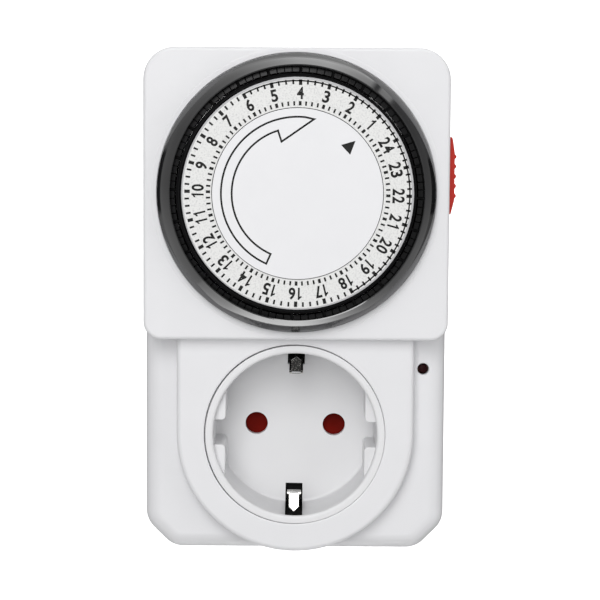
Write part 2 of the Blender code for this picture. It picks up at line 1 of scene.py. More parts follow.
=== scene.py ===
"""Looks of the plug-in segment timer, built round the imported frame.

Lengths below are millimetres in the row frame: +Z up, the front faces -Y, and the
origin is the middle of the plug's nose.  MM turns them into metres.
"""
import math

import bmesh
import bpy
from mathutils import Matrix, Vector


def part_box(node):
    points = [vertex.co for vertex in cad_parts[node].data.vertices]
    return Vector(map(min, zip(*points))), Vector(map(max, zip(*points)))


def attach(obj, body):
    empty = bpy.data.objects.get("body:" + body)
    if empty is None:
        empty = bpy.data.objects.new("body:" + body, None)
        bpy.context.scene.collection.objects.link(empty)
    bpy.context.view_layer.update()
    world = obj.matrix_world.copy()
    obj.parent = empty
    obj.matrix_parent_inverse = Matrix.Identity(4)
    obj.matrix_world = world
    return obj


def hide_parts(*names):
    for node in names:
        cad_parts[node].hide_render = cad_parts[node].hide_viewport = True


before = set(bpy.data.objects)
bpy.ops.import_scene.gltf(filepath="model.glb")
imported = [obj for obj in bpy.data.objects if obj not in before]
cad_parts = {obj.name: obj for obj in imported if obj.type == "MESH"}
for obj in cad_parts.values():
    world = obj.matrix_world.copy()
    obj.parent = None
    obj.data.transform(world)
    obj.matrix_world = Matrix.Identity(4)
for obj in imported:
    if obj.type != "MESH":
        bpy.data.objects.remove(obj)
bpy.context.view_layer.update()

MM = 0.001


def node_box(name):
    low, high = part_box(name)
    return [c / MM for c in low], [c / MM for c in high]


# ---- sizes, read from the frame where it has them ------------------------------
RING_LOW, RING_HIGH = node_box("grip_ring")
COVER_LOW, COVER_HIGH = node_box("front_cover")
REAR_LOW = node_box("rear_cover")[0]
INSERT_LOW = node_box("socket_insert")[0]
SCALE_LOW, SCALE_HIGH = node_box("scale_ring")
DISC_LOW = node_box("centre_disc")[0]
WHEEL_LOW, WHEEL_HIGH = node_box("dial_wheel")

DIAL_Z = (RING_LOW[2] + RING_HIGH[2]) / 2
DIAL_AT = (0.0, DIAL_Z)
RING_R = (RING_HIGH[2] - RING_LOW[2]) / 2
RING_FRONT = RING_LOW[1]
DRUM_R = (WHEEL_HIGH[2] - WHEEL_LOW[2]) / 2
PLATE_Y = WHEEL_LOW[1]
SCALE_R = (SCALE_HIGH[2] - SCALE_LOW[2]) / 2
SCALE_IN_R = 20.06
SCALE_Y = SCALE_LOW[1]
DISC_Y = DISC_LOW[1]
SLOT_IN_R = 28.05
SLOT_OUT_R = 29.55
RIB = 0.50                    # between two hours' slots
DIAL_PHASE = 88.3             # angle of the 4 o'clock mark, degrees
HOUR_STEP = 15.0

GAP = 0.3
WALL = 2.0
CASE_HALF_W = COVER_HIGH[0]
CASE_TOP = COVER_HIGH[2]
CASE_BOTTOM = COVER_LOW[2]
SPLIT_Y = REAR_LOW[1]
UPPER_FRONT_Y = COVER_LOW[1]
PLATEAU_Y = INSERT_LOW[1]
LOWER_FRONT_Y = PLATEAU_Y + 4.5
UPPER_LOW_Z = 23.2
TOP_CORNER_R = 7.5
LOW_CORNER_R = 4.2
BOTTOM_CHAMFER = 6.5
PLATEAU_R = 28.3
SEAT_Y = -17.0
PLUG_R = 18.5
PLUG_SIDE_FLAT = 16.2
PIN_X = 9.5
PIN_R = 2.4
PIN_TIP = 19.0
WELL_R = 19.6
INSERT_R = 21.5
INSERT_TURN = math.radians(-0.7)      # the insert sits slightly turned in its cover
FLOOR_Y = PLATEAU_Y + 17.4
FLOOR_T = 2.0
PIN_HOLE_R = 2.75
GUIDE_FLAT = 16.7
GUIDE_HALF_Z = 10.2
GUIDE_NOTCH = 6.0
EARTH_IN_R = 14.8
EARTH_HALF_W = 2.1
SCREW_AT = ((-29.5, 84.6), (29.5, 84.6), (-28.5, -18.5), (28.5, -18.5))
LAMP_AT = (30.65, 15.5)

ROUND = 192                   # steps round the dial
SEG = 12                      # steps in a case corner


# ---- materials -----------------------------------------------------------------
def nodes_of(name):
    mat = bpy.data.materials.new(name)
    mat.use_nodes = True
    tree = mat.node_tree
    return mat, tree, tree.nodes["Principled BSDF"]


def noise(tree, scale, detail, stretch=None):
    coords = tree.nodes.new("ShaderNodeTexCoord")
    tex = tree.nodes.new("ShaderNodeTexNoise")
    tex.inputs["Scale"].default_value = scale
    tex.inputs["Detail"].default_value = detail
    out = coords.outputs["Object"]
    if stretch:
        mapping = tree.nodes.new("ShaderNodeMapping")
        mapping.inputs["Scale"].default_value = stretch
        tree.links.new(out, mapping.inputs["Vector"])
        out = mapping.outputs["Vector"]
    tree.links.new(out, tex.inputs["Vector"])
    return tex.outputs["Fac"]


def spread(tree, fac, low, high, lo_in=0.3, hi_in=0.7):
    ramp = tree.nodes.new("ShaderNodeMapRange")
    ramp.inputs["From Min"].default_value = lo_in
    ramp.inputs["From Max"].default_value = hi_in
    ramp.inputs["To Min"].default_value = low
    ramp.inputs["To Max"].default_value = high
    tree.links.new(fac, ramp.inputs["Value"])
    return ramp.outputs["Result"]


def two_tone(tree, fac, dark, light, lo_in=0.35, hi_in=0.65):
    ramp = tree.nodes.new("ShaderNodeValToRGB")
    ramp.color_ramp.elements[0].position = lo_in
    ramp.color_ramp.elements[0].color = (*dark, 1.0)
    ramp.color_ramp.elements[1].position = hi_in
    ramp.color_ramp.elements[1].color = (*light, 1.0)
    tree.links.new(fac, ramp.inputs["Fac"])
    return ramp.outputs["Color"]


def bumped(tree, shader, fac, depth_mm, strength=1.0):
    bump = tree.nodes.new("ShaderNodeBump")
    bump.inputs["Distance"].default_value = depth_mm * MM
    bump.inputs["Strength"].default_value = strength
    tree.links.new(fac, bump.inputs["Height"])
    tree.links.new(bump.outputs["Normal"], shader.inputs["Normal"])


def moulded(name, colour, rough, grain_mm, depth_mm, mottle=0.03, coat=0.0, level=0.5):
    """Moulded plastic: a slow mottle in colour and gloss, and a fine surface grain."""
    mat, tree, shader = nodes_of(name)
    slow = noise(tree, 120.0, 3.0)
    dark = tuple(c * (1.0 - mottle) for c in colour)
    tree.links.new(two_tone(tree, slow, dark, colour), shader.inputs["Base Color"])
    tree.links.new(spread(tree, noise(tree, 450.0, 4.0), rough * 0.85, rough * 1.15),
                   shader.inputs["Roughness"])
    bumped(tree, shader, noise(tree, 1.0 / (grain_mm * MM), 2.0), depth_mm)
    shader.inputs["Specular IOR Level"].default_value = level
    shader.inputs["Coat Weight"].default_value = coat
    shader.inputs["Coat Roughness"].default_value = 0.04
    return mat


def plated(name, colour, rough, stretch):
    """Plated or drawn metal with fine lines along one direction."""
    mat, tree, shader = nodes_of(name)
    shader.inputs["Metallic"].default_value = 1.0
    lines = noise(tree, 900.0, 3.0, stretch)
    tree.links.new(two_tone(tree, lines, tuple(c * 0.86 for c in colour), colour),
                   shader.inputs["Base Color"])
    tree.links.new(spread(tree, lines, rough * 0.7, rough * 1.3), shader.inputs["Roughness"])
    bumped(tree, shader, lines, 0.01)
    return mat


def speckled(name, colour, speck, rough):
    """Grainy printed label stock: fine grey specks on off-white."""
    mat, tree, shader = nodes_of(name)
    tree.links.new(two_tone(tree, noise(tree, 2600.0, 2.0), speck, colour, 0.30, 0.52),
                   shader.inputs["Base Color"])
    shader.inputs["Roughness"].default_value = rough
    bumped(tree, shader, noise(tree, 2600.0, 2.0), 0.02)
    return mat


def wound(name):
    """Enamelled wire: close turns round the coil's axis."""
    mat, tree, shader = nodes_of(name)
    coords = tree.nodes.new("ShaderNodeTexCoord")
    wave = tree.nodes.new("ShaderNodeTexWave")
    wave.bands_direction = "Y"
    wave.inputs["Scale"].default_value = 900.0
    wave.inputs["Distortion"].default_value = 0.4
    tree.links.new(coords.outputs["Object"], wave.inputs["Vector"])
    tree.links.new(two_tone(tree, wave.outputs["Fac"], (0.30, 0.09, 0.03), (0.75, 0.32, 0.14)),
                   shader.inputs["Base Color"])
    shader.inputs["Metallic"].default_value = 0.7
    shader.inputs["Roughness"].default_value = 0.35
    bumped(tree, shader, wave.outputs["Fac"], 0.08)
    return mat


SHELL = moulded("shell_white", (0.72, 0.72, 0.735), 0.42, 0.35, 0.004, 0.012, level=0.35)
INSERT = moulded("insert_white", (0.71, 0.71, 0.72), 0.34, 0.5, 0.003, 0.010, level=0.35)
RING = moulded("ring_black", (0.010, 0.010, 0.011), 0.10, 0.25, 0.001, 0.25, coat=0.6, level=0.8)
WHEEL = moulded("wheel_black", (0.005, 0.005, 0.0055), 0.55, 0.2, 0.01, 0.2, level=0.05)
TAPPET = moulded("segment_black", (0.008, 0.008, 0.0085), 0.28, 0.2, 0.006, 0.25, level=0.17)
RIM = moulded("scale_rim_grey", (0.46, 0.46, 0.47), 0.5, 0.2, 0.01, 0.08)
LABEL = speckled("scale_label", (0.72, 0.72, 0.71), (0.58, 0.58, 0.58), 0.6)
DISC = moulded("disc_white", (0.745, 0.745, 0.76), 0.45, 0.4, 0.003, 0.012, level=0.3)
INK = moulded("print_black", (0.010, 0.010, 0.010), 0.55, 0.12, 0.004, 0.3, level=0.2)
RED = moulded("knob_red", (0.60, 0.034, 0.022), 0.50, 0.25, 0.006, 0.10, level=0.22)
SHUTTER = moulded("shutter_red", (0.155, 0.0060, 0.0032), 0.6, 0.25, 0.012, 0.35, level=0.03)
LENS = moulded("lens_maroon", (0.022, 0.005, 0.006), 0.40, 0.4, 0.004, 0.3, level=0.04)
# black for the boxes behind the earth windows: painted shade for the dark inside of the openings
SHADE_BLACK = moulded("painted_shade_black", (0.006, 0.006, 0.006), 0.7, 0.3, 0.01, 0.3, level=0.1)
NATURAL = moulded("gear_acetal", (0.74, 0.71, 0.60), 0.45, 0.3, 0.006, 0.06)
MAGNET = moulded("rotor_ferrite", (0.05, 0.047, 0.045), 0.55, 0.2, 0.03, 0.3)
NICKEL = plated("nickel", (0.80, 0.79, 0.76), 0.20, (1.0, 0.15, 1.0))
STEEL = plated("plated_steel", (0.62, 0.62, 0.62), 0.32, (0.12, 1.0, 1.0))
BRASS = plated("stamped_brass", (0.74, 0.56, 0.27), 0.30, (1.0, 0.2, 1.0))
COIL = wound("coil_wire")
LAMP = moulded("lamp_glass", (0.70, 0.42, 0.32), 0.08, 0.8, 0.004, 0.1)


# ---- outlines in the XZ plane ----------------------------------------------------
def arc(cx, cz, r, a0, a1, n):
    step = math.radians(a1 - a0) / n
    start = math.radians(a0)
    return [(cx + r * math.cos(start + i * step), cz + r * math.sin(start + i * step)) for i in range(n + 1)]


def circle(cx, cz, r, n):
    return arc(cx, cz, r, 0.0, 360.0, n)[:-1]


def rect(x0, x1, z0, z1):
    return [(x0, z0), (x1, z0), (x1, z1), (x0, z1)]


def rounded_rect(x0, x1, z0, z1, r_low, r_top, n):
    out = arc(x1 - r_low, z0 + r_low, r_low, -90, 0, n)
    out += arc(x1 - r_top, z1 - r_top, r_top, 0, 90, n)
    out += arc(x0 + r_top, z1 - r_top, r_top, 90, 180, n)
    out += arc(x0 + r_low, z0 + r_low, r_low, 180, 270, n)
    return out


def case_outline(inset):
    """Body outline with rounded top corners and soft 45-degree bottom corners."""
    w = CASE_HALF_W - inset
    z0 = CASE_BOTTOM + inset
    c = BOTTOM_CHAMFER - 0.586 * inset
    r = 6.0 - inset
    r_top = TOP_CORNER_R - inset
    t = r * math.tan(math.radians(22.5))
    right = arc(w - c - t, z0 + r, r, -90, -45, SEG // 2)
    right += arc(w - r, z0 + c + t, r, -45, 0, SEG // 2)
    right += arc(w - r_top, CASE_TOP - inset - r_top, r_top, 0, 90, SEG)
    return right + [(-x, z) for x, z in reversed(right)]


def upper_outline(inset):
    return rounded_rect(-CASE_HALF_W + inset, CASE_HALF_W - inset, UPPER_LOW_Z + inset, CASE_TOP - inset,
                        max(LOW_CORNER_R - inset, 1.2), TOP_CORNER_R - inset, SEG)


def stadium(r, z_top, n):
    return [(r, z_top), (-r, z_top)] + arc(0.0, 0.0, r, 180, 360, n)


# ---- solids ------------------------------------------------------------------------
def add_mesh(name, bm, mat=None):
    bmesh.ops.recalc_face_normals(bm, faces=bm.faces)
    mesh = bpy.data.meshes.new(name)
    bm.to_mesh(mesh)
    bm.free()
    obj = bpy.data.objects.new(name, mesh)
    bpy.context.scene.collection.objects.link(obj)
    if mat:
        mesh.materials.append(mat)
    return obj


def extrude_outline(bm, outline, y0, y1):
    verts = [bm.verts.new((x * MM, y0 * MM, z * MM)) for x, z in outline]
    edges = [bm.edges.new(pair) for pair in zip(verts, verts[1:] + verts[:1])]
    face = bmesh.ops.edgeloop_fill(bm, edges=edges)["faces"]
    top = bmesh.ops.extrude_face_region(bm, geom=face)["geom"]
    moved = [v for v in top if isinstance(v, bmesh.types.BMVert)]
    bmesh.ops.translate(bm, verts=moved, vec=(0.0, (y1 - y0) * MM, 0.0))


def soften(bm, y, width, segments):
    edges = [e for e in bm.edges if all(abs(v.co.y - y * MM) < 1e-7 for v in e.verts)]
    bmesh.ops.bevel(bm, geom=edges, offset=width * MM, segments=segments, profile=0.5,
                    affect="EDGES", clamp_overlap=True)


def prism(name, outline, y0, y1, mat=None, soft=()):
    bm = bmesh.new()
    extrude_outline(bm, outline, y0, y1)
    for end in soft:
        soften(bm, *end)
    return add_mesh(name, bm, mat)


def bundle(name, pieces, mat=None):
    bm = bmesh.new()
    for outline, y0, y1 in pieces:
        extrude_outline(bm, outline, y0, y1)
    return add_mesh(name, bm, mat)


def lathe(name, profile, at, steps, mat=None, closed=True):
    bm = bmesh.new()
    verts = [bm.verts.new((r * MM, y * MM, 0.0)) for r, y in profile]
    edges = [bm.edges.new(pair) for pair in zip(verts, verts[1:])]
    if closed:
        edges.append(bm.edges.new((verts[-1], verts[0])))
    bmesh.ops.spin(bm, geom=verts + edges, cent=(0, 0, 0), axis=(0, 1, 0), angle=2 * math.pi,
                   steps=steps, use_merge=True)
    bmesh.ops.remove_doubles(bm, verts=bm.verts, dist=1e-6)
    bmesh.ops.translate(bm, verts=bm.verts, vec=(at[0] * MM, 0.0, at[1] * MM))
    return add_mesh(name, bm, mat)


def rod(name, at, r, y0, y1, steps, mat=None):
    return lathe(name, [(0.0, y0), (r, y0), (r, y1), (0.0, y1)], at, steps, mat, closed=False)


def rounded_profile(points, radii, steps=4):
    """Replaces corners of a closed or open (r, y) profile with arcs of the given radii."""
    out = []
    count = len(points)
    for i, (p, radius) in enumerate(zip(points, radii)):
        if radius <= 0.0:
            out.append(p)
            continue
        a = Vector(points[i - 1])
        b = Vector(p)
        c = Vector(points[(i + 1) % count])
        u = (a - b).normalized()
        v = (c - b).normalized()
        half = u.angle(v) / 2
        reach = min(radius / math.tan(half), (a - b).length * 0.49, (c - b).length * 0.49)
        start = b + u * reach
        end = b + v * reach
        for k in range(steps + 1):
            t = k / steps
            q = start * (1 - t) ** 2 + b * 2 * t * (1 - t) + end * t * t
            out.append((q.x, q.y))
    return out


def boolean(obj, other, operation):
    mod = obj.modifiers.new(operation, "BOOLEAN")
    mod.operation = operation
    mod.object = other
    mod.solver = "EXACT"


def apply_all(obj, *helpers):
    """Bakes the modifiers into the mesh and drops the cutters."""
    graph = bpy.context.evaluated_depsgraph_get()
    made = bpy.data.meshes.new_from_object(obj.evaluated_get(graph))
    obj.modifiers.clear()
    obj.data = made
    for helper in helpers:
        bpy.data.objects.remove(helper, do_unlink=True)


def cut(obj, *others):
    for other in others:
        boolean(obj, other, "DIFFERENCE")
    apply_all(obj, *others)


def weld(obj, *others):
    for other in others:
        boolean(obj, other, "UNION")
    apply_all(obj, *others)


def edge_round(obj, width, segments=2, angle=40.0):
    mod = obj.modifiers.new("edge", "BEVEL")
    mod.width = width * MM
    mod.segments = segments
    mod.limit_method = "ANGLE"
    mod.angle_limit = math.radians(angle)
    mod.use_clamp_overlap = True
    mod.miter_outer = "MITER_ARC"
    apply_all(obj)


def smooth(obj, angle=32.0, weighted=True):
    for face in obj.data.polygons:
        face.use_smooth = True
    obj.data.set_sharp_from_angle(angle=math.radians(angle))
    if weighted:
        mod = obj.modifiers.new("weighted", "WEIGHTED_NORMAL")
        mod.keep_sharp = True
        mod.weight = 80


def place(obj, body, slot_name, *nodes):
    """Rides on the body and stands for the nodes, which it hides; slot_name is not used."""
    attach(obj, body)
    if nodes:
        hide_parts(*nodes)
    return obj


# ---- front cover ---------------------------------------------------------------------
def front_cover():
    base = SPLIT_Y - GAP
    cover = prism("cover_shell", case_outline(0.0), base, LOWER_FRONT_Y, SHELL,
                  soft=((LOWER_FRONT_Y, 4.0, 10),))
    block = prism("t_block", upper_outline(0.0), base, UPPER_FRONT_Y, SHELL, soft=((UPPER_FRONT_Y, 0.9, 6),))
    field = prism("t_field", stadium(PLATEAU_R, UPPER_LOW_Z + 4, 72), SPLIT_Y - 2, PLATEAU_Y, SHELL,
                  soft=((PLATEAU_Y, 1.2, 6),))
    weld(cover, block, field)
    collar = lathe("t_collar", rounded_profile(
        [(RING_R - 1.5, UPPER_FRONT_Y + 0.5), (RING_R - 1.5, UPPER_FRONT_Y - 0.08),
         (RING_R + 1.1, UPPER_FRONT_Y - 0.08), (RING_R + 1.8, UPPER_FRONT_Y + 0.2)],
        (0.0, 0.0, 0.6, 0.0)), DIAL_AT, ROUND, SHELL)
    trim = prism("t_trim", upper_outline(0.5), base, UPPER_FRONT_Y - 2)
    boolean(collar, trim, "INTERSECT")
    apply_all(collar, trim)
    weld(cover, collar)
    room = prism("t_room", case_outline(WALL), SPLIT_Y + 4, LOWER_FRONT_Y + WALL,
                 soft=((LOWER_FRONT_Y + WALL, 2.4, 4),))
    room_up = prism("t_room_up", upper_outline(WALL), SPLIT_Y + 5, UPPER_FRONT_Y + WALL)
    room_mid = prism("t_room_mid", stadium(PLATEAU_R - WALL, UPPER_LOW_Z + 3, 48), SPLIT_Y + 6,
                     PLATEAU_Y + WALL)
    cut(cover, room, room_up, room_mid)
    posts = bundle("t_posts", [(circle(x, z, 3.4, 24), -22.0, -53.4 if z > 0 else -45.4)
                               for x, z in SCREW_AT])
    weld(cover, posts)
    dial_hole = lathe("t_dial_hole", [
        (0.0, -62.0), (RING_R + 0.04, -62.0), (RING_R + 0.04, UPPER_FRONT_Y - 0.11),
        (RING_R - 0.04, UPPER_FRONT_Y - 0.03), (RING_R - 0.04, UPPER_FRONT_Y + 0.63),
        (DRUM_R + GAP, UPPER_FRONT_Y + 0.63), (DRUM_R + GAP, -49.0), (0.0, -49.0)], DIAL_AT, ROUND,
        closed=False)
    rim = INSERT_R + 0.17
    socket_hole = lathe("t_socket_hole", rounded_profile(
        [(0.0, -62.0), (rim + 0.5, -62.0), (rim + 0.5, PLATEAU_Y), (rim, PLATEAU_Y + 0.14), (rim, -45.7),
         (0.0, -45.7)],
        (0, 0, 0, 0.12, 0, 0)), (-0.12, 0.09), 128, closed=False)
    holes = [(circle(x, z, 1.55, 20), -21.0, -34.5) for x, z in SCREW_AT]
    small = bundle("t_small", holes)
    lamp = lathe("t_lamp", [(0.0, -50.0), (1.6, -50.0), (1.6, LOWER_FRONT_Y - 0.02),
                            (1.38, LOWER_FRONT_Y + 0.22), (1.35, -40.0), (0.0, -40.0)], LAMP_AT, 40,
                 closed=False)
    low, high = node_box("override_slider")
    middle = (low[2] + high[2]) / 2
    slot = prism("t_knob_slot", rect(30.0, 40.0, middle - 7.3, middle + 3.3), -42.4, -37.6)
    cut(cover, dial_hole, socket_hole, small, lamp, slot)
    smooth(cover, 30.0)
    place(cover, "case", "white_shell", "front_cover")


# ---- rear cover, plug and pins ---------------------------------------------------------
def rear_cover():
    cover = prism("rear_shell", case_outline(0.0), SPLIT_Y, SEAT_Y, SHELL, soft=((SEAT_Y, 1.4, 6),))
    cut(cover, prism("t_room", case_outline(WALL), SPLIT_Y - 4, SEAT_Y - 2.5))
    plug = prism("t_plug", circle(0, 0, PLUG_R, 128), SEAT_Y - 1.0, 0.0, SHELL, soft=((0.0, 0.8, 5),))
    cups = bundle("t_cups", [(circle(x, z, 4.0, 32), -21.7, SEAT_Y - 1.2) for x, z in SCREW_AT])
    weld(cover, plug, cups)
    flats = bundle("t_flats", [(rect(s * PLUG_SIDE_FLAT, s * 22.0, -10.0, 10.0), SEAT_Y, 5.0)
                               for s in (-1, 1)])
    earth = bundle("t_earth", [(rect(-2.2, 2.2, s * 16.6, s * 19.4), -24.0, -1.5) for s in (-1, 1)])
    pins = bundle("t_pins", [(circle(s * PIN_X, 0, PIN_R + GAP, 32), -24.0, 5.0) for s in (-1, 1)])
    shafts = bundle("t_shafts", [(circle(x, z, 1.75, 24), -24.0, -12.0) for x, z in SCREW_AT])
    heads = bundle("t_heads", [(circle(x, z, 2.9, 40), -20.2, -12.0) for x, z in SCREW_AT])
    cut(cover, flats, earth, pins, shafts, heads)
    smooth(cover, 30.0)
    place(cover, "case", "white_shell", "rear_cover")


def pins():
    for side, name in ((-1, "line"), (1, "neutral")):
        tip = arc(0.0, 0.0, 1.0, 0, 90, 10)
        nose = [(PIN_R * (0.35 + 0.65 * c), PIN_TIP - 1.9 + 1.9 * s) for c, s in tip]
        profile = [(0.0, -22.4), (3.4, -22.4), (3.4, -19.8), (PIN_R, -19.8)] + nose + [(0.0, PIN_TIP)]
        pin = lathe(name + "_plug_pin", profile, (side * PIN_X, 0), 48, NICKEL, closed=False)
        smooth(pin, 30.0, weighted=False)
        place(pin, "case", "nickel", name + "_pin")


# ---- socket insert ------------------------------------------------------------------------
def seat_turned(obj, front=-32.0):
    """Turns whatever lies in front of a depth by the small angle at which the insert sits."""
    c, s = math.cos(INSERT_TURN), math.sin(INSERT_TURN)
    for v in obj.data.vertices:
        if v.co.y < front * MM:
            v.co.x, v.co.z = c * v.co.x - s * v.co.z, s * v.co.x + c * v.co.z


def guide_outline(side, upper):
    """One half of a side guide, rounded where it meets the notch."""
    lo, hi = GUIDE_NOTCH / 2, GUIDE_HALF_Z
    far_lo = math.sqrt((WELL_R + 0.9) ** 2 - lo * lo)
    far_hi = math.sqrt((WELL_R + 0.9) ** 2 - hi * hi)
    points = [(GUIDE_FLAT, lo), (far_lo, lo), (far_hi, hi), (GUIDE_FLAT, hi)]
    points = rounded_profile(points, (1.1, 0.0, 0.0, 0.3), 6)
    sign = 1 if upper else -1
    return [(side * x, sign * z) for x, z in points]


def socket_insert():
    back = FLOOR_Y + FLOOR_T
    profile = [(0.0, FLOOR_Y), (WELL_R, FLOOR_Y), (WELL_R, PLATEAU_Y), (INSERT_R, PLATEAU_Y),
               (INSERT_R, -49.2), (24.2, -49.2), (24.2, -47.4), (INSERT_R, -47.4), (INSERT_R, back),
               (1.0, back), (1.0, back + 1.9), (0.0, back + 1.9)]
    radii = (0, 0.8, 0.75, 0.3, 0, 0.2, 0.2, 0, 0, 0, 0, 0)
    insert = lathe("socket_well", rounded_profile(profile, radii, 5), (0, 0), 144, INSERT, closed=False)
    bm = bmesh.new()
    for s in (-1, 1):
        for up in (True, False):
            extrude_outline(bm, guide_outline(s, up), FLOOR_Y + 0.5, PLATEAU_Y + 2.3)
    soften(bm, PLATEAU_Y + 2.3, 0.6, 4)
    weld(insert, add_mesh("t_guides", bm))
    holes = [(circle(s * PIN_X, 0, PIN_HOLE_R, 56), FLOOR_Y - 3, back + 3) for s in (-1, 1)]
    holes += [(rect(-EARTH_HALF_W, EARTH_HALF_W, s * EARTH_IN_R, s * (INSERT_R - 0.7)), PLATEAU_Y + 0.75,
               back + 3) for s in (-1, 1)]
    cut(insert, bundle("t_holes", holes))
    seat_turned(insert, 0.0)
    smooth(insert, 30.0)
    place(insert, "case", "white_insert", "socket_insert")


def earth_pockets():
    """Black boxes behind the two earth windows: painted shade for the dark inside of the openings."""
    for s, label in ((1, "upper"), (-1, "lower")):
        half = EARTH_HALF_W - 0.02
        deep = INSERT_R - 0.74
        outer = prism("earth_window_shade_" + label, rect(-half, half, s * (EARTH_IN_R + 0.02), s * deep),
                      PLATEAU_Y + 0.78, FLOOR_Y + 2.6, SHADE_BLACK)
        room = prism("t_inside", rect(-half + 0.12, half - 0.12, s * 10.0, s * (deep - 0.12)),
                     PLATEAU_Y + 0.9, FLOOR_Y + 2.1)
        passage = prism("t_passage", rect(-1.75, 1.75, s * 17.3, s * 19.1), FLOOR_Y, FLOOR_Y + 4)
        cut(outer, room, passage, lathe("t_well", [(0.0, -60.0), (WELL_R + 0.05, -60.0),
            (WELL_R + 0.05, FLOOR_Y + 0.3), (0.0, FLOOR_Y + 0.3)], (0, 0), 144, closed=False))
        seat_turned(outer, 0.0)
        place(outer, "case", "black_matt")


front_cover()
rear_cover()
pins()
socket_insert()


# ---- earth strap and its clips --------------------------------------------------------------
def strip_path(s):
    """Spring clip near the rim, then back past the floor and along the plug's side."""
    corners = [(-49.7, 18.85), (-47.0, 14.35), (-36.6, 18.2), (-27.6, 18.2), (-26.0, 17.9), (-2.2, 17.9)]
    path = rounded_profile(corners, (0, 0.75, 1.0, 0.6, 0.6, 0), 8)
    return [(y, s * z) for y, z in path]


def side_strip(name, path, widths, thick, mat=None):
    """Sheet strip along a (y, z) path; widths is a function of y."""
    bm = bmesh.new()
    rows = []
    for y, z in path:
        half = widths(y) / 2
        rows.append([bm.verts.new((x * MM, y * MM, z * MM)) for x in (-half, 0.0, half)])
    for a, b in zip(rows, rows[1:]):
        for k in range(2):
            bm.faces.new((a[k], a[k + 1], b[k + 1], b[k]))
    obj = add_mesh(name, bm, mat)
    solid = obj.modifiers.new("thickness", "SOLIDIFY")
    solid.thickness = thick * MM
    solid.offset = 0.0
    solid.use_even_offset = True
    apply_all(obj)
    return obj


def earth_strap():
    strap = prism("earth_clip_strap", rect(-1.6, 1.6, -18.35, 18.35), -29.8, -29.0, NICKEL)
    strips = [side_strip("t_strip", strip_path(s), lambda y: 3.3, 0.7) for s in (-1, 1)]
    weld(strap, *strips)
    sides = [([(a * 1.15, s * 15.0), (a * 3.0, s * 14.6), (a * 3.0, s * 20.0), (a * 1.15, s * 20.0)],
              -52.0, -46.5) for s in (-1, 1) for a in (-1, 1)]
    tips = [([(a * 1.3, s * 17.6), (a * 0.1, s * 18.65), (a * 0.1, s * 20.0), (a * 3.0, s * 20.0),
              (a * 3.0, s * 17.6)], -52.5, -48.0) for s in (-1, 1) for a in (-1, 1)]
    slots = [(rect(-1.05, 1.05, s * 14.25, s * 14.8), -52.0, -44.6) for s in (-1, 1)]
    cut(strap, bundle("t_sides", sides), bundle("t_slots", slots), *[bundle("t_tip", [t]) for t in tips])
    edge_round(strap, 0.08, 2, 35.0)
    seat_turned(strap)
    smooth(strap, 35.0)
    place(strap, "case", "nickel", "earth_strap")


# ---- shutter, lens, lamp -----------------------------------------------------------------------
def child_shutter():
    outline = arc(PIN_X, 0, 3.7, -90, 90, 28) + arc(-PIN_X, 0, 3.7, 90, 270, 28)
    blade = prism("shutter_blade", outline, -31.8, -30.4, SHUTTER, soft=((-31.8, 0.2, 3),))
    bore = rod("t_bore", (0, 0), 1.3, -34.0, -28.0, 32)
    waist = bundle("t_waist", [([(-6.2, s * 2.3), (6.2, s * 2.3), (4.2, s * 5.0), (-4.2, s * 5.0)],
                                -34.0, -28.0) for s in (-1, 1)])
    cut(blade, bore, waist)
    seat_turned(blade, 0.0)
    smooth(blade, 35.0)
    place(blade, "shutter", "shutter_red", "child_shutter")


def indicator():
    lens = lathe("indicator_window", rounded_profile(
        [(0.0, -46.35), (1.05, -46.2), (1.05, -43.2), (0.0, -43.2)], (0, 0.3, 0.1, 0), 5), LAMP_AT, 40, LENS,
        closed=False)
    smooth(lens, 35.0, weighted=False)
    place(lens, "case", "lens", "indicator_lens")
    dome = [(2.0 * c, -40.9 - 2.0 * s) for c, s in arc(0.0, 0.0, 1.0, 90, 0, 10)]
    bulb = lathe("neon_lamp", [(0.0, -42.9)] + dome[1:] + [(2.0, -35.2), (1.7, -35.0), (0.0, -35.0)],
                 LAMP_AT, 40, LAMP, closed=False)
    smooth(bulb, 35.0, weighted=False)
    place(bulb, "case", "lamp", "indicator_lamp")


# ---- dial -----------------------------------------------------------------------------------------
def dial_point(r, degrees):
    a = math.radians(degrees)
    return (r * math.cos(a), DIAL_Z + r * math.sin(a))


def hour_angle(hour):
    return DIAL_PHASE + (hour - 4) * HOUR_STEP


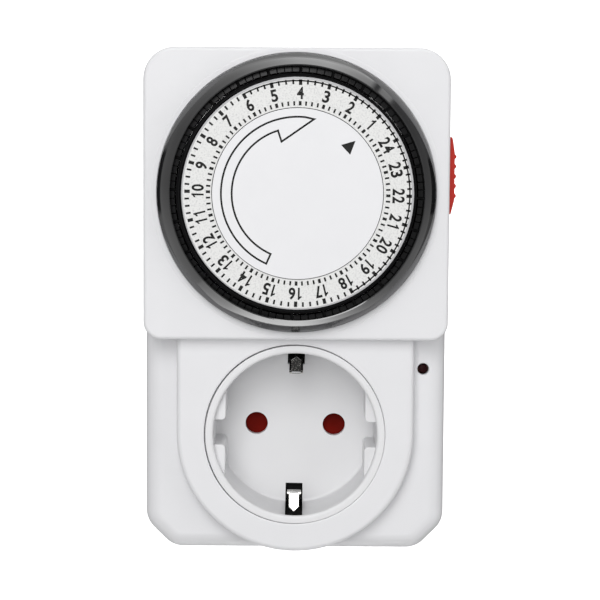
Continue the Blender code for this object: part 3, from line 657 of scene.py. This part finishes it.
def dial_wheel():
    inner = SCALE_R + 0.10
    profile = [(4.4, -53.5), (20.8, -53.5), (20.8, PLATE_Y), (inner, PLATE_Y), (inner + 0.12, PLATE_Y - 0.75),
               (inner + 0.50, PLATE_Y - 0.75), (inner + 0.62, PLATE_Y - 0.25), (inner + 0.95, PLATE_Y - 0.25),
               (inner + 1.05, PLATE_Y), (DRUM_R, PLATE_Y), (DRUM_R, -50.0), (27.0, -50.0), (27.0, -56.8),
               (22.3, -56.8), (22.3, -53.5), (25.4, -53.5), (25.4, -47.0), (20.9, -47.0), (20.9, -52.0),
               (4.4, -52.0)]
    drum = lathe("dial_drum", profile, DIAL_AT, ROUND, WHEEL)
    low, high = node_box("drive_pinion")
    toward = math.atan2((low[2] + high[2]) / 2 - DIAL_Z, (low[0] + high[0]) / 2)
    teeth = []
    for k in range(48):
        for share, r in ((-0.38, 20.88), (-0.23, 22.59), (0.23, 22.59), (0.38, 20.88)):
            a = toward + (k + share) * math.radians(360 / 48)
            teeth.append((r * math.cos(a), DIAL_Z + r * math.sin(a)))
    slots = []
    trim = math.degrees(RIB / 2 / SLOT_OUT_R)
    for hour in range(24):
        a0 = hour_angle(hour) + trim
        a1 = a0 + HOUR_STEP - 2 * trim
        slot = arc(0, DIAL_Z, SLOT_OUT_R, a0, a1, 8) + arc(0, DIAL_Z, SLOT_IN_R, a1, a0, 8)
        slots.append((slot, -62.0, -48.0))
    cut(drum, prism("t_teeth", teeth, -52.2, -44.0), bundle("t_slots", slots))
    weld(drum, lathe("t_hub", [(3.3, -54.4), (5.6, -54.4), (5.6, -46.6), (3.3, -46.6)], DIAL_AT, 48))
    smooth(drum, 30.0)
    place(drum, "dial", "black_matt", "dial_wheel")


def grip_ring():
    """A straight side and one slightly rounded sloping face up to the front edge."""
    foot = RING_FRONT + 5.8
    edge = RING_R - 0.28
    outer = (edge - 0.02, RING_FRONT + 3.35)
    inner = (29.95, RING_FRONT + 0.02)
    face = []
    for k in range(15):
        t = k / 14
        bulge = 0.20 * math.sin(math.pi * t)
        face.append((outer[0] + (inner[0] - outer[0]) * t + bulge * 0.76,
                     outer[1] + (inner[1] - outer[1]) * t - bulge * 0.65))
    profile = [(DRUM_R + GAP, foot), (edge, foot)] + face
    profile += [(29.72, RING_FRONT + 0.12), (29.62, RING_FRONT + 0.35), (29.62, PLATE_Y - GAP),
                (DRUM_R + GAP, PLATE_Y - GAP)]
    ring = lathe("dial_grip_ring", profile, DIAL_AT, ROUND, RING)
    for v in ring.data.vertices:
        lean = max(0.0, (RING_FRONT + 3.4) * MM - v.co.y) / (3.4 * MM)
        v.co.x += 0.22 * MM * lean
        v.co.z += 0.20 * MM * lean
    smooth(ring, 24.0, weighted=False)
    place(ring, "dial", "black_gloss", "grip_ring")


def tappets():
    mid_r = (SLOT_IN_R + SLOT_OUT_R) / 2
    r0 = SLOT_IN_R + 0.36
    r1 = SLOT_OUT_R - 0.05
    trim = math.degrees((RIB / 2 + 0.10) / mid_r)
    slit = math.degrees(0.20 / mid_r)
    for hour in range(24):
        a0 = hour_angle(hour) + trim
        a1 = a0 + HOUR_STEP - 2 * trim
        width = (a1 - a0 - 3 * slit) / 4
        pieces = []
        for k in range(4):
            b0 = a0 + k * (width + slit)
            b1 = b0 + width
            pieces.append((arc(0, DIAL_Z, r1, b0, b1, 3) + arc(0, DIAL_Z, r0, b1, b0, 3), -59.5, -52.9))
        group = bundle("segments_{:02d}".format(hour), pieces, TAPPET)
        for v in group.data.vertices:
            radius = math.hypot(v.co.x, v.co.z - DIAL_Z * MM) / MM
            if v.co.y < -59.0 * MM and radius > mid_r:
                v.co.y += 0.36 * MM
        web = prism("t_web", arc(0, DIAL_Z, r1, a0, a1, 12) + arc(0, DIAL_Z, r0, a1, a0, 12), -53.0, -50.2)
        weld(group, web)
        edge_round(group, 0.14, 2, 40.0)
        smooth(group, 35.0)
        node = "tappets_{:02d}_to_{:02d}_h".format(hour, hour + 1)
        place(group, "tappets_{:02d}".format(hour), "tappet_grey", node)


PRINT_AT = (0.28, 0.06)      # the printed sheet sits a little to the right of the axis
PRINT_OFF = (0.40, 0.09)     # and the printing on it a little further
PRINT_TURN = 0.75            # degrees
NUMERAL_R = 23.40
NUMERAL_TALL = 2.86
NUMERAL_PITCH = 0.64         # between two figures, in figure heights


def scale_ring():
    base = lathe("scale_carrier", rounded_profile(
        [(SCALE_IN_R, -58.6), (SCALE_R + 0.1, -58.6), (SCALE_R + 0.1, SCALE_Y + 0.06),
         (SCALE_IN_R, SCALE_Y + 0.16)],
        (0, 0, 0.15, 0.08), 4), (PRINT_AT[0], DIAL_Z + PRINT_AT[1]), ROUND, RIM)
    smooth(base, 35.0)
    place(base, "dial", "scale_white", "scale_ring")
    bm = bmesh.new()
    rings = []
    for r, dx, dz in ((20.10, 0.28, 0.06), (26.68, 0.16, -0.06)):
        for y in (SCALE_Y + 0.08, SCALE_Y + 0.005):
            rings.append([bm.verts.new(((x + dx) * MM, y * MM, (z + dz) * MM)) for x, z in
                          circle(0.0, DIAL_Z, r, ROUND)])
    order = (rings[0], rings[1], rings[3], rings[2])
    for a, b in zip(order, order[1:] + order[:1]):
        for k in range(ROUND):
            j = (k + 1) % ROUND
            bm.faces.new((a[k], a[j], b[j], b[k]))
    label = add_mesh("scale_label_ring", bm, LABEL)
    smooth(label, 35.0)
    place(label, "dial", "scale_white")


def radial_bar(degrees, r0, r1, width):
    a = math.radians(degrees)
    along = (math.cos(a), math.sin(a))
    across = (-math.sin(a), math.cos(a))
    corners = ((r0, -width / 2), (r1, -width / 2), (r1, width / 2), (r0, width / 2))
    return [(r * along[0] + w * across[0], DIAL_Z + r * along[1] + w * across[1]) for r, w in corners]


def scale_print():
    top = SCALE_Y - 0.025
    low = SCALE_Y + 0.03
    bars = []
    for k in range(96):
        degrees = DIAL_PHASE + PRINT_TURN + k * HOUR_STEP / 4
        on_hour = k % 4 == 0
        inner_w, outer_w, outer_r = (0.64, 0.76, 25.22) if on_hour else (0.42, 0.43, 25.42)
        bars.append((radial_bar(degrees, 20.5, 21.5, inner_w), low, top))
        bars.append((radial_bar(degrees, outer_r, 26.5, outer_w), low, top))
    shifted = [([(x + PRINT_OFF[0], z + PRINT_OFF[1]) for x, z in outline], a, b) for outline, a, b in bars]
    ticks = bundle("scale_ticks", shifted, INK)
    place(ticks, "dial", "black_matt")
    a0 = hour_angle(18) + PRINT_TURN
    a1 = a0 + 12 * HOUR_STEP
    outline = arc(0, DIAL_Z, 26.42, a0, a1, 96) + arc(0, DIAL_Z, 26.08, a1, a0, 96)
    night = prism("night_arc", [(x + PRINT_AT[0] - 0.1, z + PRINT_AT[1]) for x, z in outline], low, top, INK)
    place(night, "dial", "black_matt")


ONE = ((0.20, 0.0), (0.345, 0.0), (0.345, 1.0), (0.235, 1.0), (0.205, 0.93), (0.14, 0.86), (0.04, 0.80),
       (0.04, 0.67), (0.13, 0.70), (0.20, 0.75))


def digit(char):
    """A figure one unit tall from (0, 0): the 1 is drawn with its flag, the others are type."""
    if char == "1":
        bm = bmesh.new()
        verts = [bm.verts.new((x, y, -0.004)) for x, y in ONE]
        edges = [bm.edges.new(pair) for pair in zip(verts, verts[1:] + verts[:1])]
        face = bmesh.ops.edgeloop_fill(bm, edges=edges)["faces"]
        top = bmesh.ops.extrude_face_region(bm, geom=face)["geom"]
        moved = [v for v in top if isinstance(v, bmesh.types.BMVert)]
        bmesh.ops.translate(bm, verts=moved, vec=(0.0, 0.0, 0.008))
        bmesh.ops.recalc_face_normals(bm, faces=bm.faces)
        mesh = bpy.data.meshes.new("one")
        bm.to_mesh(mesh)
        bm.free()
        return mesh, 0.13
    font = bpy.data.curves.new("figure", "FONT")
    font.body = char
    font.size = 1.0
    font.offset = 0.030
    font.extrude = 0.003
    font.resolution_u = 6
    text = bpy.data.objects.new("t_text", font)
    bpy.context.scene.collection.objects.link(text)
    graph = bpy.context.evaluated_depsgraph_get()
    mesh = bpy.data.meshes.new_from_object(text.evaluated_get(graph))
    bpy.data.objects.remove(text, do_unlink=True)
    xs = [v.co.x for v in mesh.vertices]
    ys = [v.co.y for v in mesh.vertices]
    wide, tall = max(xs) - min(xs), max(ys) - min(ys)
    fit = Matrix.Diagonal((0.55 / wide, 1.0 / tall, 1.0, 1.0))
    mesh.transform(fit @ Matrix.Translation((-min(xs), -min(ys), 0.0)))
    return mesh, 0.045


def numerals():
    """Hours 1 to 24, feet towards the centre, in condensed bold figures."""
    for hour in range(1, 25):
        chars = str(hour)
        bm = bmesh.new()
        for k, char in enumerate(chars):
            mesh, bearing = digit(char)
            start = (k - len(chars) / 2) * NUMERAL_PITCH
            mesh.transform(Matrix.Translation((start + bearing, -0.5, 0.0)))
            bm.from_mesh(mesh)
            bpy.data.meshes.remove(mesh)
        degrees = hour_angle(hour) + PRINT_TURN
        x, z = dial_point(NUMERAL_R, degrees)
        turn = Matrix.Rotation(math.radians(90), 4, "X") @ Matrix.Rotation(math.radians(degrees - 90), 4, "Z")
        spot = Matrix.Translation(((x + PRINT_OFF[0]) * MM, (SCALE_Y - 0.012) * MM, (z + PRINT_OFF[1]) * MM))
        bmesh.ops.transform(bm, verts=bm.verts, matrix=spot @ turn @ Matrix.Scale(NUMERAL_TALL * MM, 4))
        obj = add_mesh("numeral_{:02d}".format(hour), bm, INK)
        place(obj, "dial", "black_matt")


# ---- centre disc and its print ------------------------------------------------------------------------
def centre_disc():
    edge = SCALE_IN_R - 0.13
    lip = DISC_Y + 0.14
    profile = [(0.0, DISC_Y), (edge, DISC_Y), (edge, lip), (edge - 0.62, lip), (edge - 0.62, -58.5),
               (4.6, -58.5), (4.6, -55.0), (2.3, -55.0), (2.3, -58.3), (0.0, -58.3)]
    disc = lathe("centre_plate", rounded_profile(profile, (0, 0.10, 0, 0, 0, 0, 0.2, 0, 0, 0), 6),
                 (PRINT_AT[0], DIAL_Z + PRINT_AT[1]), ROUND, DISC, closed=False)
    smooth(disc, 35.0)
    place(disc, "case", "disc_white", "centre_disc")


def stroke(name, points, width, y0, y1, mat):
    """Flat line of a set width along a closed outline, with mitred corners."""
    count = len(points)
    left, right = [], []
    for i in range(count):
        a, b, c = (Vector(points[(i + k) % count]) for k in (-1, 0, 1))
        u = (b - a).normalized()
        v = (c - b).normalized()
        normal = Vector((-(u + v).y, (u + v).x)).normalized()
        reach = width / 2 / max(normal.dot(Vector((-u.y, u.x))), 0.35)
        left.append(b + normal * reach)
        right.append(b - normal * reach)
    bm = bmesh.new()
    rings = [[bm.verts.new((p.x * MM, y * MM, p.y * MM)) for p in side]
             for side in (left, right) for y in (y0, y1)]
    order = (rings[0], rings[1], rings[3], rings[2])
    for a, b in zip(order, order[1:] + order[:1]):
        for k in range(count):
            j = (k + 1) % count
            bm.faces.new((a[k], a[j], b[j], b[k]))
    return add_mesh(name, bm, mat)


def disc_print():
    low = DISC_Y + 0.03
    top = DISC_Y - 0.02
    dx, dz = 0.33, 0.08
    tail, head = 246.0, 107.7
    arrow = arc(0, DIAL_Z, 17.9, tail, 85.0, 72)
    arrow += [dial_point(17.75, 78.0)]
    arrow += [dial_point(12.7, head)]
    arrow += arc(0, DIAL_Z, 15.4, head, tail, 60)
    arrow = [(x + dx, z + dz) for x, z in arrow]
    place(stroke("running_arrow", arrow, 0.44, low, top, INK), "case", "black_matt")
    apex = dial_point(18.2, 43.0)
    a = math.radians(43.0)
    base = dial_point(15.1, 43.0)
    across = (-math.sin(a) * 1.55, math.cos(a) * 1.55)
    corners = [apex, (base[0] + across[0], base[1] + across[1]), (base[0] - across[0], base[1] - across[1])]
    pointer = prism("time_pointer", [(x + dx, z + dz) for x, z in corners], low, top, INK)
    place(pointer, "case", "black_matt")


# ---- override knob ------------------------------------------------------------------------------------
def override_knob():
    low, high = node_box("override_slider")
    z0, z1 = low[2] + 0.34, high[2] + 0.34
    x0 = CASE_HALF_W + GAP
    y0, y1 = low[1], high[1]
    bed = x0 + 1.50
    profile = [(x0, z0), (x0 + 0.58, z0), (x0 + 0.68, z0 + 0.15), (bed - 0.04, z0 + 3.3)]
    for k in range(5):
        z = z0 + 4.44 + 2.35 * k
        profile += [(bed + 0.40 * math.sin(math.pi * t / 8), z - 0.62 + 1.24 * t / 8) for t in range(9)]
    profile += [(bed - 0.02, z1 - 3.6), (x0 + 1.02, z1 - 0.5), (x0 + 0.85, z1), (x0, z1)]
    knob = prism("override_knob", profile, y0, y1, RED, soft=((y0, 0.25, 3), (y1, 0.25, 3)))
    middle = (low[2] + high[2]) / 2
    stem = prism("t_stem", rect(33.4, x0 + 0.3, middle - 3.0, middle + 3.0), -42.0, -38.0)
    foot = prism("t_foot", rect(low[0], 33.6, middle - 5.0, middle + 5.0), -43.6, -36.4)
    weld(knob, stem, foot)
    smooth(knob, 38.0)
    place(knob, "override", "knob_red", "override_slider")


# ---- screws ---------------------------------------------------------------------------------------------
def screws():
    for (x, z), label in zip(SCREW_AT, ("upper_left", "upper_right", "lower_left", "lower_right")):
        profile = [(0.0, -34.0), (1.25, -32.6)]
        for k in range(14):
            y = -32.2 + 0.8 * k
            profile += [(1.25, y), (0.95, y + 0.4)]
        profile += [(1.25, -20.6), (1.25, -19.9), (2.6, -19.9), (2.6, -18.5), (2.3, -18.0), (1.4, -17.8),
                    (0.0, -17.75)]
        screw = lathe("rear_screw_" + label, profile, (x, z), 40, STEEL, closed=False)
        cross = [prism("t_cross", [(x + c[0], z + c[1]) for c in rect(-a, a, -b, b)], -18.9, -17.0)
                 for a, b in ((1.55, 0.32), (0.32, 1.55))]
        cut(screw, *cross)
        smooth(screw, 35.0)
        place(screw, "case", "steel", "case_screw_" + label)


earth_pockets()
earth_strap()
child_shutter()
indicator()
dial_wheel()
grip_ring()
tappets()
scale_ring()
scale_print()
numerals()
centre_disc()
disc_print()
override_knob()
screws()


# ---- finishes for the CAD nodes that stay ------------------------------------------------------------------
KEPT = {
    "line_contact": BRASS, "neutral_contact": BRASS, "fixed_contact": BRASS, "contact_leaf": BRASS,
    "drive_pinion": BRASS, "centre_post": STEEL, "chassis_plate": STEEL, "first_gear_arbor": STEEL,
    "second_gear_arbor": STEEL, "motor_stator": STEEL, "motor_coil": COIL, "motor_rotor": MAGNET,
    "first_gear": NATURAL, "second_gear": NATURAL, "clutch_gear": NATURAL, "switch_body": NATURAL,
    "follower_lever": TAPPET,
}
for kept, finish in KEPT.items():
    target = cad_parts[kept]
    target.data.materials.clear()
    target.data.materials.append(finish)


# ---- studio ------------------------------------------------------------------------------------------------
def sweep():
    """White paper: a floor that curves up into a backdrop."""
    mat, tree, shader = nodes_of("paper_white")
    tree.links.new(two_tone(tree, noise(tree, 20.0, 2.0), (0.90, 0.90, 0.90), (0.93, 0.93, 0.93)),
                   shader.inputs["Base Color"])
    shader.inputs["Roughness"].default_value = 0.9
    shader.inputs["Emission Color"].default_value = (1.0, 1.0, 1.0, 1.0)
    shader.inputs["Emission Strength"].default_value = 0.55
    floor_z, back_y, bend = -0.16, 0.75, 0.45
    path = [(-3.0, floor_z)]
    path += [(back_y - bend + bend * math.sin(a), floor_z + bend - bend * math.cos(a))
             for a in (math.radians(6 * k) for k in range(16))]
    path += [(back_y, 2.5)]
    bm = bmesh.new()
    rows = [[bm.verts.new((x, y, z)) for x in (-3.0, 3.0)] for y, z in path]
    for a, b in zip(rows, rows[1:]):
        bm.faces.new((a[0], a[1], b[1], b[0]))
    obj = add_mesh("paper_sweep", bm, mat)
    for face in obj.data.polygons:
        face.use_smooth = True
    obj.visible_diffuse = False
    obj.visible_glossy = False


def area_light(name, spot, aim, size, watts, colour=(1.0, 1.0, 1.0)):
    data = bpy.data.lights.new(name, "AREA")
    data.shape = "RECTANGLE"
    data.size, data.size_y = size
    data.energy = watts
    data.color = colour
    obj = bpy.data.objects.new(name, data)
    obj.location = spot
    obj.rotation_euler = (Vector(aim) - Vector(spot)).to_track_quat("-Z", "Y").to_euler()
    bpy.context.scene.collection.objects.link(obj)


# Brightness round the dial as seen in reflections: (degrees from the right, upwards; glow).
FRONT_GLOW = ((-135, 1.1), (-120, 2.0), (-107, 4.3), (-88, 4.8), (-72, 2.2), (-60, 1.1), (-45, 0.65),
              (-28, 0.7), (0, 0.32), (42, 0.24), (43.5, 1.4), (50, 1.4), (50.6, 0.15), (53, 0.15),
              (53.8, 1.6), (60, 1.9), (76, 3.0), (90, 2.8), (105, 1.8), (120, 0.95), (135, 0.6),
              (155, 0.44), (180, 0.48), (205, 0.8))
SIDE_GLOW = ((-135, 0.48), (-120, 0.75), (-105, 1.7), (-88, 1.6), (-75, 0.9), (-60, 0.4), (-45, 0.25),
             (-12.5, 0.25), (-12, 0.01), (12, 0.01), (12.5, 0.2), (42, 0.2), (43.5, 1.6), (50, 1.7),
             (50.6, 0.2), (53, 0.2), (53.8, 2.2), (65, 2.2), (90, 1.3), (105, 1.4), (120, 1.0),
             (135, 0.5), (165, 0.35), (166, 0.01), (191, 0.01), (192, 0.45))
BACK_GLOW = ((-135, 0.42), (-110, 1.2), (-90, 1.4), (-70, 0.8), (-50, 0.2), (-12.5, 0.2), (-12, 0.01),
             (12, 0.01), (12.5, 0.15), (60, 1.2), (90, 0.9), (120, 0.8), (140, 0.35), (165, 0.28),
             (166, 0.01), (191, 0.01), (192, 0.4))
FORE_GLOW = ((-135, 0.1), (-90, 0.04), (-45, 0.1), (0, 0.3), (60, 1.4), (90, 1.9), (120, 1.4),
             (180, 0.3))


HALO_R = 0.45                 # metres
HALO_START = -135             # degrees at which the ramps begin


def halo(name, y0, y1, glow):
    """An open drum round the dial's axis that shows only in reflections."""
    mat, tree, shader = nodes_of(name)
    shader.inputs["Base Color"].default_value = (0.0, 0.0, 0.0, 1.0)
    shader.inputs["Specular IOR Level"].default_value = 0.0
    shader.inputs["Emission Strength"].default_value = 1.0
    coords = tree.nodes.new("ShaderNodeTexCoord")
    turn = tree.nodes.new("ShaderNodeTexGradient")
    turn.gradient_type = "RADIAL"
    ramp = tree.nodes.new("ShaderNodeValToRGB")
    stops = ramp.color_ramp.elements
    while len(stops) < len(glow):
        stops.new(0.5)
    for k, (degrees, _) in enumerate(glow):
        stops[k].position = (degrees - HALO_START) / 360
    for k, (_, level) in enumerate(glow):
        stops[k].color = (level, level, level, 1.0)
    tree.links.new(coords.outputs["Object"], turn.inputs["Vector"])
    tree.links.new(turn.outputs["Fac"], ramp.inputs["Fac"])
    tree.links.new(ramp.outputs["Color"], shader.inputs["Emission Color"])
    bm = bmesh.new()
    bmesh.ops.create_cone(bm, cap_ends=False, segments=96, radius1=HALO_R, radius2=HALO_R, depth=y1 - y0)
    drum = add_mesh(name, bm, mat)
    drum.rotation_euler = (math.pi / 2, -math.pi / 4, 0.0)
    drum.location = (0.0, (y0 + y1) / 2, DIAL_Z * MM)
    drum.visible_camera = False
    drum.visible_diffuse = False
    drum.visible_shadow = False
    drum.visible_transmission = False


def studio():
    sweep()
    halo("halo_fore", -0.50, -0.10, FORE_GLOW)
    halo("halo_front", -0.10, 0.085, FRONT_GLOW)
    halo("halo_side", 0.085, 0.145, SIDE_GLOW)
    halo("halo_back", 0.145, 1.60, BACK_GLOW)
    world = bpy.data.worlds.new("soft_white")
    world.use_nodes = True
    back = world.node_tree.nodes["Background"]
    back.inputs["Color"].default_value = (1.0, 1.0, 1.0, 1.0)
    back.inputs["Strength"].default_value = 0.42
    bpy.context.scene.world = world
    middle = (0.0, -0.03, 0.03)
    area_light("front_box", (-0.14, -0.98, 0.10), middle, (0.5, 0.5), 2.7)
    area_light("key", (-0.12, -0.80, 0.53), middle, (0.45, 0.45), 3.5)
    area_light("right_fill", (0.85, -0.55, 0.02), middle, (0.5, 0.6), 1.5)
    area_light("back_fill", (0.0, 0.62, 0.40), middle, (0.7, 0.4), 2.2)
    bpy.context.scene.view_settings.view_transform = "Standard"
    bpy.context.scene.view_settings.look = "None"


# The camera stands a little above the dial and looks slightly down.
CAMERA_AT = (0.99, -586.54, 88.86)
CAMERA_PITCH = 0.105
CAMERA_ROLL = 0.0062
LENS = 136.0
SENSOR = 36.0


def camera():
    data = bpy.data.cameras.new("photo_camera")
    data.sensor_width = SENSOR
    data.lens = LENS
    data.clip_start = 0.01
    data.clip_end = 20.0
    obj = bpy.data.objects.new("photo_camera", data)
    turn = Matrix.Rotation(math.pi / 2 - CAMERA_PITCH, 4, "X") @ Matrix.Rotation(CAMERA_ROLL, 4, "Z")
    obj.matrix_world = Matrix.Translation([c * MM for c in CAMERA_AT]) @ turn
    bpy.context.scene.collection.objects.link(obj)
    bpy.context.scene.camera = obj


studio()
camera()
